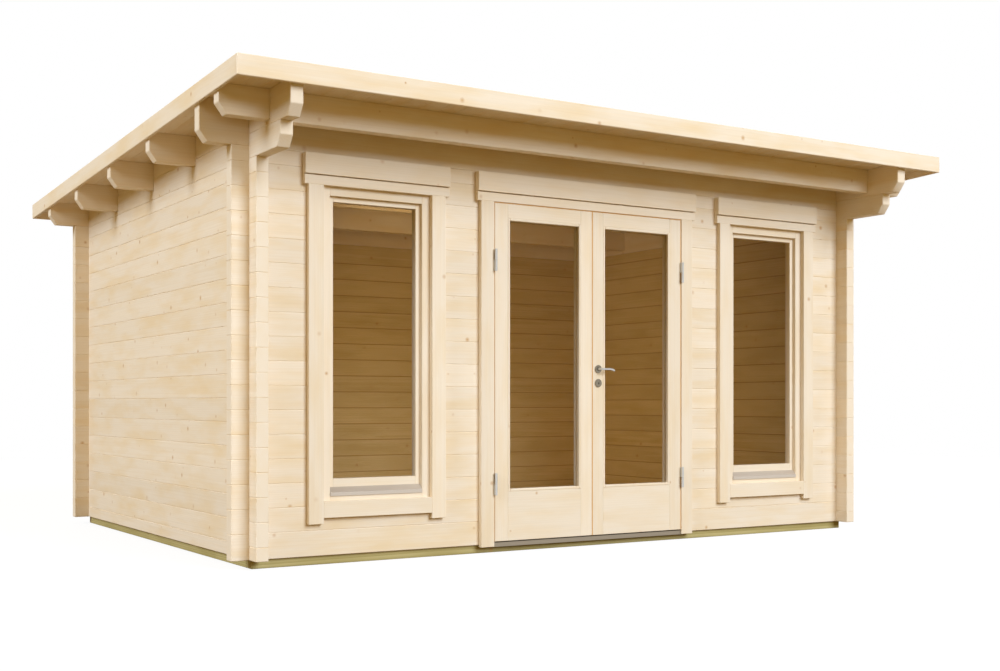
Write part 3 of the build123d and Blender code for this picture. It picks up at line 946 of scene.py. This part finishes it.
class DoorLeaves(bpy.types.Operator):
    """Build the leaves with stiles, rails, glazing beads and sealed units"""

    bl_idname = "garden_office.door_leaves"
    bl_label = "Door leaves"

    def execute(self, context):
        sizes = context.scene.office_sizes
        for name, body in (("left_leaf", LEFT_LEAF), ("right_leaf", RIGHT_LEAF)):
            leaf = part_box(name)
            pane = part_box(name + "_pane")
            rebate = grown(pane, sizes.bead_width)
            proud = sizes.bead_proud
            timber = joined_frame(
                name + "_timber", "joinery_spruce", *ring_bars(leaf, rebate, leaf[0].y, leaf[1].y),
                sizes.joinery_arris)
            outer = joined_frame(
                name + "_outer_bead", "joinery_spruce",
                *ring_bars(rebate, pane, leaf[0].y - proud, pane[0].y), sizes.beam_arris)
            inner = joined_frame(
                name + "_inner_bead", "joinery_spruce",
                *ring_bars(rebate, pane, pane[1].y, leaf[1].y + proud), sizes.beam_arris)
            settle(join([timber, outer, inner], name + "_joinery"), body, "joinery_spruce", name)
            settle(sealed_unit(name + "_glass", pane), body, "clear_glass", name + "_pane")
        self.meeting_strip()
        return {"FINISHED"}

    def meeting_strip(self):
        """Strip on the left leaf and seal on the right one that close the gap between them."""
        sizes = bpy.context.scene.office_sizes
        low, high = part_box("left_leaf")
        set_back = sizes.strip_set_back
        place = ((high.x - set_back, low.y + set_back, low.z), (sizes.strip_lap, high.y - set_back, high.z))
        strip = bars("left_leaf_meeting_strip", [place], wood("joinery_spruce", "Z"), "Z")
        ease(strip, sizes.joinery_arris)
        settle(strip, LEFT_LEAF, "joinery_spruce")
        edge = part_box("right_leaf")[0]
        front = edge.y + set_back
        place = (
            (sizes.strip_lap + sizes.meeting_slit, front, low.z),
            (edge.x + set_back, front + sizes.meeting_seal, high.z))
        # The seal's tan is partly a painted shade of the gap between the leaves
        settle(bars("right_leaf_meeting_seal", [place], seal()), RIGHT_LEAF, "joinery_spruce")


class DoorFittings(bpy.types.Operator):
    """Turn the hinges, the lock roses and the lever"""

    bl_idname = "garden_office.door_fittings"
    bl_label = "Hinges and lever"

    rose_edge: FloatProperty(
        name="Rose edge", description="Rounding of a rose", default=0.003, unit="LENGTH")
    knuckle_edge: FloatProperty(
        name="Knuckle edge", description="Rounding of a knuckle", default=0.002, unit="LENGTH")
    keyhole: FloatProperty(
        name="Keyhole", description="Width of a keyhole's slot", default=0.004, unit="LENGTH")
    keyhole_depth: FloatProperty(
        name="Keyhole depth", description="Depth of a keyhole", default=0.006, unit="LENGTH")
    elbow: FloatProperty(
        name="Elbow", description="Bend from the lever's neck to its arm", default=0.014, unit="LENGTH")
    droop: FloatProperty(
        name="Droop", description="Turn of the lever's tip", default=math.radians(34), unit="ROTATION")

    # Edges flatter than these are shaded smooth on turned metal and on the lever
    TURNED = math.radians(35)
    BENT = math.radians(40)
    # A slot is taller than wide, hangs mostly below its round, and its cutter starts outside the rose
    SLOT_SLIMNESS = 3
    SLOT_BELOW = 0.7
    SLOT_ABOVE = 0.3
    SLOT_OVERRUN = 0.01
    # Shares of the lever's length: half its arm's thickness, its straight stretch and its drooping one
    ARM_SHARE = 0.065
    STRAIGHT_SHARE = 0.60
    DROOP_SHARE = 0.35
    # Length of the taper from neck to arm, and rounding of the lever's ends
    TAPER = 0.008
    END_EDGE = 0.003

    def execute(self, context):
        self.hinges()
        self.roses()
        self.levers()
        return {"FINISHED"}

    def hinges(self):
        """Hinge halves with rounded knuckles, on the frame and on each leaf."""
        for node, body in (
                ("frame_hinges", BUILDING), ("left_leaf_hinges", LEFT_LEAF),
                ("right_leaf_hinges", RIGHT_LEAF)):
            piece = eased_copy(node, node + "_turned", self.knuckle_edge, metal("satin_steel"), segments=2)
            smooth(piece, self.TURNED)
            settle(piece, body, "satin_steel", node)

    def roses(self):
        """Round roses, the lower ones with a keyhole on both sides of the leaf."""
        brushed = metal("brushed_rose_steel")
        piece = eased_copy("lock_roses", "lock_roses_turned", self.rose_edge, brushed, segments=3)
        low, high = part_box("lock_roses")
        middle = Vector(((low.x + high.x) / 2, 0, low.z + (high.x - low.x) / 2))
        wide = self.keyhole
        tall = wide * self.SLOT_SLIMNESS
        slots = []
        for face, side in ((low.y, 1), (high.y, -1)):
            ends = sorted((face - side * self.SLOT_OVERRUN, face + side * self.keyhole_depth))
            slots.append((
                (middle.x - wide / 2, ends[0], middle.z - tall * self.SLOT_BELOW),
                (middle.x + wide / 2, ends[1], middle.z + tall * self.SLOT_ABOVE)))
        # The cut faces of the keyhole take its painted shade
        self.cut(piece, bars("keyhole_slots", slots, metal("painted_keyhole_shade")))
        cutter = begin("keyhole_rounds")
        for a, b in slots:
            bpy.ops.mesh.primitive_cylinder_add(
                vertices=20, radius=wide, depth=b[1] - a[1], location=(middle.x, (a[1] + b[1]) / 2, middle.z),
                rotation=(math.pi / 2, 0, 0))
        done()
        cutter.data.materials.append(metal("painted_keyhole_shade"))
        self.cut(piece, cutter)
        smooth(piece, self.TURNED)
        settle(piece, RIGHT_LEAF, "satin_steel", "lock_roses")

    def cut(self, piece, cutter):
        """Takes the cutter out of the piece and leaves the cut faces with the cutter's material."""
        apply_modifier(piece, "BOOLEAN", object=cutter, solver="EXACT", material_mode="TRANSFER")
        bpy.data.objects.remove(cutter)

    def levers(self):
        """The levers outside and inside, on the axis of their joint."""
        low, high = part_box("lever_handle")
        joint = next(j for j in frame["joints"] if j["name"] == "lever_turn")
        axis = Vector(joint["pos_m"])
        middle = (low.y + high.y) / 2
        arms = [self.lever(axis, middle, side, low, high) for side in (-1, 1)]
        settle(join(arms, "lever_pair"), LEVER, "satin_steel", "lever_handle")

    def lever(self, axis, middle, side, low, high):
        """One lever: a round neck out of the leaf, an elbow, and an arm that droops at its tip."""
        neck = axis.x - low.x
        length = high.x - axis.x
        arm = length * self.ARM_SHARE
        end = low.y if side < 0 else high.y
        stand = end - side * arm
        piece = begin("lever_arm")
        bpy.ops.mesh.primitive_circle_add(
            vertices=24, radius=neck, fill_type="NGON", location=(axis.x, middle, axis.z),
            rotation=(side * -math.pi / 2, 0, 0))
        bend_y = stand - side * self.elbow
        self.push((0, bend_y - side * self.TAPER - middle, 0))
        self.push((0, side * self.TAPER, 0))
        bpy.ops.transform.resize(value=(arm / neck, 1, arm / neck), center_override=(axis.x, bend_y, axis.z))
        bpy.ops.mesh.spin(
            steps=8, angle=side * math.pi / 2, center=(axis.x + self.elbow, bend_y, axis.z), axis=(0, 0, 1))
        reach = length * self.STRAIGHT_SHARE
        self.push((reach - self.elbow, 0, 0))
        radius = length * self.DROOP_SHARE / math.sin(self.droop)
        bpy.ops.mesh.spin(
            steps=6, angle=-self.droop, center=(axis.x + reach, stand, axis.z - radius), axis=(0, 1, 0))
        done()
        piece.data.materials.append(metal("satin_steel"))
        edit(piece)
        bpy.ops.mesh.remove_doubles(threshold=MERGE)
        bpy.ops.mesh.normals_make_consistent(inside=False)
        done()
        ease(piece, self.END_EDGE, 3)
        smooth(piece, self.BENT)
        return piece

    def push(self, step):
        """Extrudes the selected face by a step."""
        bpy.ops.mesh.extrude_region_move(TRANSFORM_OT_translate={"value": step})


class Stage(bpy.types.Operator):
    """Set the floor, the soft light and the camera"""

    bl_idname = "garden_office.stage"
    bl_label = "Stage"

    lens: FloatProperty(
        name="Lens", description="Focal length for a 36 mm frame", default=47.09, unit="CAMERA")
    place_x: FloatProperty(name="Camera X", description="Camera to the left", default=-4.794, unit="LENGTH")
    place_y: FloatProperty(name="Camera Y", description="Camera to the front", default=-8.146, unit="LENGTH")
    place_z: FloatProperty(name="Camera Z", description="Height of the camera", default=0.883, unit="LENGTH")
    turn: FloatProperty(
        name="Turn", description="Camera turned to the right", default=math.radians(-32.1), unit="ROTATION")
    rise: FloatProperty(name="Rise", description="Upward shift of the picture", default=0.0683)
    sky: FloatProperty(name="Sky", description="Strength of the light from all round", default=0.51)
    sky_colour: StringProperty(name="Sky colour", description="Warm light of the shade", default="#FFDF91")
    key: FloatProperty(name="Key", description="Power of the front light", default=12000.0, unit="POWER")
    fill: FloatProperty(name="Fill", description="Power of the left light", default=9350.0, unit="POWER")
    rest: FloatProperty(
        name="Back and right", description="Power of the back and right lights", default=5000.0, unit="POWER")
    room: FloatProperty(name="Room", description="Power of the light inside", default=11.5, unit="POWER")
    daylight: StringProperty(name="Daylight", description="Colour of the softboxes", default="#DCEBFF")
    room_colour: StringProperty(
        name="Room colour", description="Light thrown back by bare wood", default="#FFE0A8")

    # Where each lamp stands and how wide its square is, and the point in the office that all face
    LAMPS = {
        "front_softbox": ((8.0, -29.0, 15.5), 18.0),
        "left_softbox": ((-30.0, -4.0, 17.0), 16.0),
        "back_softbox": ((6.0, 30.0, 5.0), 9.0),
        "right_softbox": ((30.0, 4.0, 5.0), 9.0),
        "room_light": ((-1.5, -0.9, 1.95), 0.4),
    }
    AIM = Vector((0, 0.2, 1.2))
    ROOM_SPREAD = math.radians(95)
    # The stage's floor: its width, the grey that shows its shadows, and how white the rest of it glows
    FLOOR_WIDTH = 26
    FLOOR_GREY = (0.8, 0.8, 0.8, 1)
    GLOW = 1.06
    GLOW_SHARE = 0.84

    def execute(self, context):
        context.scene.view_settings.view_transform = "Standard"
        self.floor(context)
        self.sky_light(context)
        self.lamp("front_softbox", self.key, self.daylight)
        self.lamp("left_softbox", self.fill, self.daylight)
        self.lamp("back_softbox", self.rest, self.daylight)
        self.lamp("right_softbox", self.rest, self.daylight)
        self.lamp("room_light", self.room, self.room_colour, self.ROOM_SPREAD)
        bpy.ops.object.select_all(action="DESELECT")
        bpy.ops.object.camera_add(
            location=(self.place_x, self.place_y, self.place_z), rotation=(math.pi / 2, 0, self.turn))
        camera = context.object
        camera.data.lens = self.lens
        camera.data.shift_y = self.rise
        context.scene.camera = camera
        return {"FINISHED"}

    def seen(self, tree):
        """1 for rays that see the background: from the camera, and off or through the object."""
        path = add(tree, "ShaderNodeLightPath")
        shiny = add(
            tree, "ShaderNodeMath",
            {0: path.outputs["Is Glossy Ray"], 1: path.outputs["Is Transmission Ray"]}, operation="MAXIMUM")
        return add(
            tree, "ShaderNodeMath",
            {0: path.outputs["Is Camera Ray"], 1: shiny.outputs[0]}, operation="MAXIMUM")

    def floor(self, context):
        """A pale floor that reads white, with a trace of the office's shadow."""
        bpy.ops.object.select_all(action="DESELECT")
        bpy.ops.mesh.primitive_plane_add(size=self.FLOOR_WIDTH)
        floor = context.object
        floor.name = "floor_of_the_stage"
        material, tree = new_material("pale_studio_floor")
        seen = self.seen(tree)
        shade = add(
            tree, "ShaderNodeMix",
            {0: seen.outputs[0], 6: linear(context.scene.office_colours.ground), 7: self.FLOOR_GREY},
            data_type="RGBA")
        matt = add(tree, "ShaderNodeBsdfDiffuse", {"Color": shade.outputs[2]})
        white = add(tree, "ShaderNodeEmission", {"Strength": self.GLOW})
        share = add(tree, "ShaderNodeMath", {0: seen.outputs[0], 1: self.GLOW_SHARE}, operation="MULTIPLY")
        mixed = add(
            tree, "ShaderNodeMixShader", {0: share.outputs[0], 1: matt.outputs[0], 2: white.outputs[0]})
        add(tree, "ShaderNodeOutputMaterial", {"Surface": mixed.outputs[0]})
        floor.data.materials.append(material)

    def sky_light(self, context):
        """White behind the office, and an even light from all round."""
        world = bpy.data.worlds.new("studio")
        context.scene.world = world
        world.use_nodes = True
        tree = world.node_tree
        tree.nodes.clear()
        seen = self.seen(tree)
        strength = add(tree, "ShaderNodeMapRange", {"Value": seen.outputs[0], 3: self.sky, 4: 1.0})
        colour = add(
            tree, "ShaderNodeMix", {0: seen.outputs[0], 6: linear(self.sky_colour), 7: (1, 1, 1, 1)},
            data_type="RGBA")
        back = add(
            tree, "ShaderNodeBackground", {"Color": colour.outputs[2], "Strength": strength.outputs[0]})
        add(tree, "ShaderNodeOutputWorld", {"Surface": back.outputs[0]})

    def lamp(self, name, power, colour, spread=math.pi):
        """A square softbox that faces the middle of the office and isn't seen itself."""
        place, size = self.LAMPS[name]
        bpy.ops.object.select_all(action="DESELECT")
        bpy.ops.object.light_add(type="AREA", location=place)
        lamp = bpy.context.object
        lamp.name = name
        lamp.visible_camera = False
        lamp.visible_glossy = False
        lamp.data.size = size
        lamp.data.energy = power
        lamp.data.spread = spread
        lamp.data.color = linear(colour)[:3]
        aim = self.AIM - Vector(place)
        lamp.rotation_euler = aim.to_track_quat("-Z", "Y").to_euler()


class OfficePanel(bpy.types.Panel):
    """Lists the steps that dress the office"""

    bl_idname = "VIEW3D_PT_garden_office"
    bl_label = "Garden Office"
    bl_space_type = "VIEW_3D"
    bl_region_type = "UI"
    bl_category = "Garden Office"

    def draw(self, context):
        for step in STEPS:
            self.layout.operator(step.bl_idname)
        for group in (context.scene.office_sizes, context.scene.office_colours):
            for name in group.__annotations__:
                self.layout.prop(group, name)


STEPS = (
    LogWalls, RoofTimbers, RoofBoards, Base, Casings, Windows, DoorFrame, DoorLeaves, DoorFittings, Stage)
CLASSES = (OfficeSizes, OfficeColours, *STEPS, OfficePanel)


def register():
    """Makes the classes known to Blender and gives the scene its sizes and colours."""
    for item in CLASSES:
        bpy.utils.register_class(item)
    bpy.types.Scene.office_sizes = PointerProperty(type=OfficeSizes)
    bpy.types.Scene.office_colours = PointerProperty(type=OfficeColours)


def unregister():
    """Takes back what register did."""
    del bpy.types.Scene.office_colours
    del bpy.types.Scene.office_sizes
    for item in reversed(CLASSES):
        bpy.utils.unregister_class(item)


def main():
    """Dresses the frame."""
    register()
    bpy.ops.garden_office.log_walls()
    bpy.ops.garden_office.roof_timbers()
    bpy.ops.garden_office.roof_boards()
    bpy.ops.garden_office.base()
    bpy.ops.garden_office.casings()
    bpy.ops.garden_office.windows()
    bpy.ops.garden_office.door_frame()
    bpy.ops.garden_office.door_leaves()
    bpy.ops.garden_office.door_fittings()
    bpy.ops.garden_office.stage()


if __name__ == "__main__":
    main()
